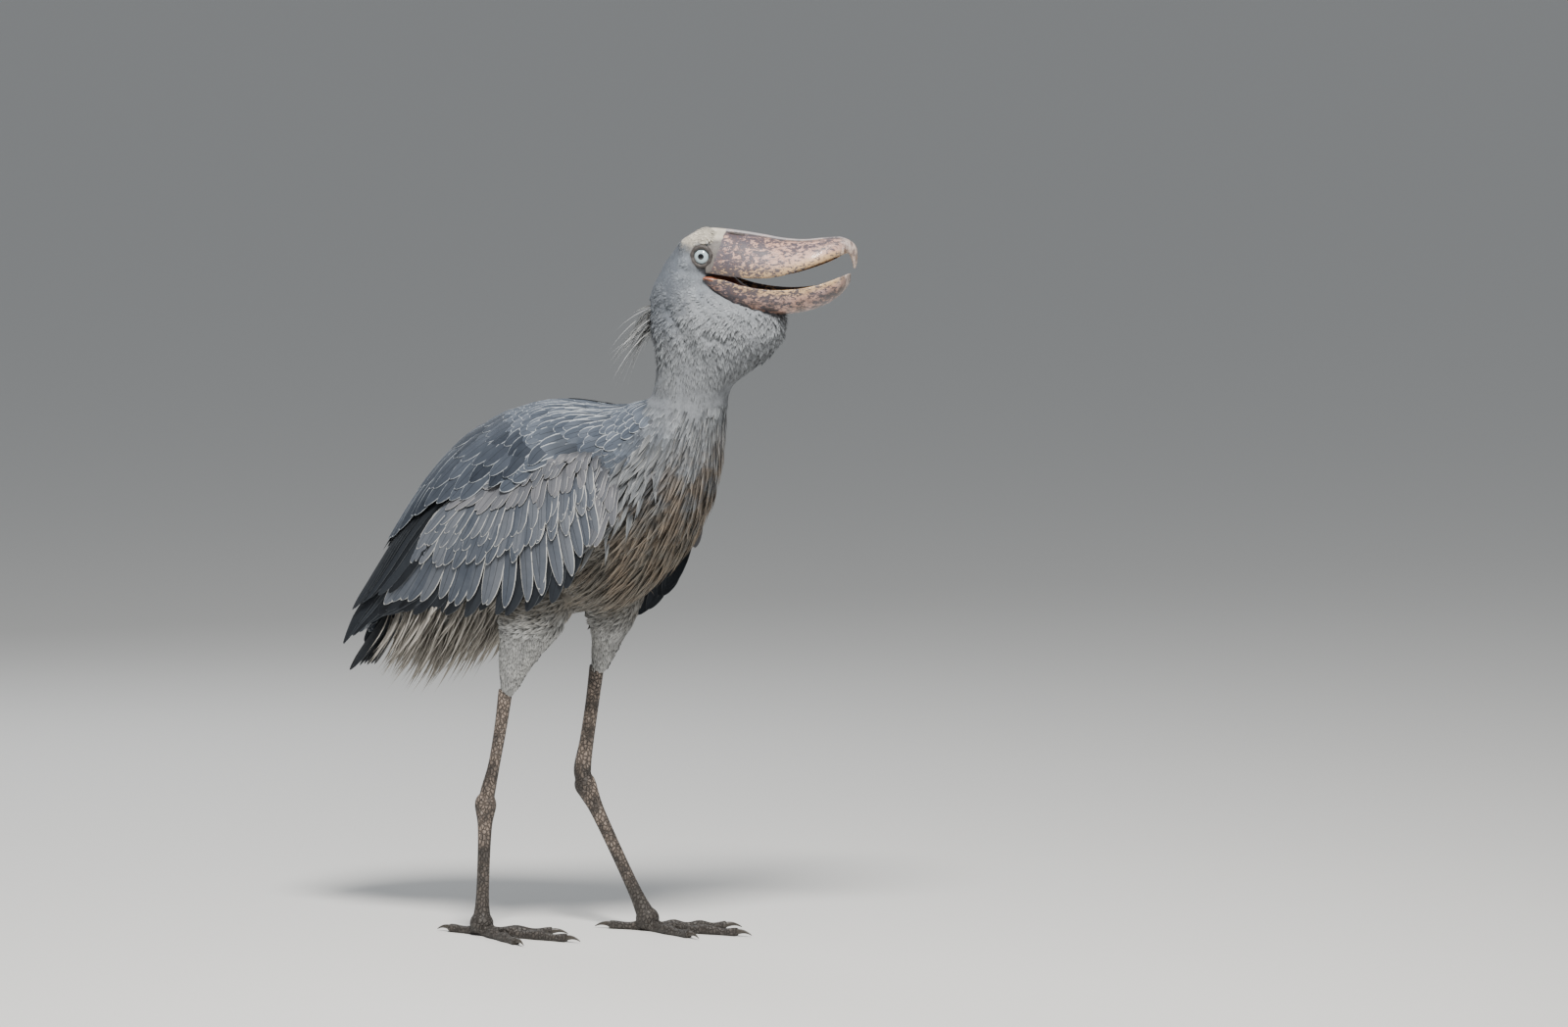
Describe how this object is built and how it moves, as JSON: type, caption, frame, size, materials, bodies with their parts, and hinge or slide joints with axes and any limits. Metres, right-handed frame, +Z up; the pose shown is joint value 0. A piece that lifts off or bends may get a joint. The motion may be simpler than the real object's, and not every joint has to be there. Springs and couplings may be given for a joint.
{
  "type": "shoebill",
  "caption": "Life-size shoebill in mid-stride, with a massive hooked bill held slightly open, folded wings, a short tail and long bare legs.",
  "frame": {"origin": "middle of the box round the bird, on the floor", "axes": "+X the way the body faces, +Y to the bird's left, +Z up from the floor; the head is turned 14 degrees to the bird's left"},
  "size_m": [0.8835, 0.3425, 1.1239],
  "materials": {
    "plumage": "matte feathers",
    "wing_feathers": "satin feathers",
    "tail_feathers": "satin feathers",
    "bill": "satin horn",
    "leg_skin": "matte scaly skin",
    "claw": "satin horn",
    "eye": "wet gloss"
  },
  "bodies": {
    "root": {"head": "plumage", "neck": "plumage", "torso": "plumage", "thigh_right": "plumage", "thigh_left": "plumage", "wing_right": "wing_feathers", "wing_left": "wing_feathers", "tail": "tail_feathers", "upper_bill": "bill", "lower_bill": "bill", "eye_right": "eye", "shank_right": "leg_skin", "tarsus_right": "leg_skin", "toe_middle_right": "leg_skin", "claw_middle_right": "claw", "toe_inner_right": "leg_skin", "claw_inner_right": "claw", "toe_outer_right": "leg_skin", "claw_outer_right": "claw", "toe_hind_right": "leg_skin", "claw_hind_right": "claw", "eye_left": "eye", "shank_left": "leg_skin", "tarsus_left": "leg_skin", "toe_middle_left": "leg_skin", "claw_middle_left": "claw", "toe_inner_left": "leg_skin", "claw_inner_left": "claw", "toe_outer_left": "leg_skin", "claw_outer_left": "claw", "toe_hind_left": "leg_skin", "claw_hind_left": "claw"}
  },
  "joints": []
}
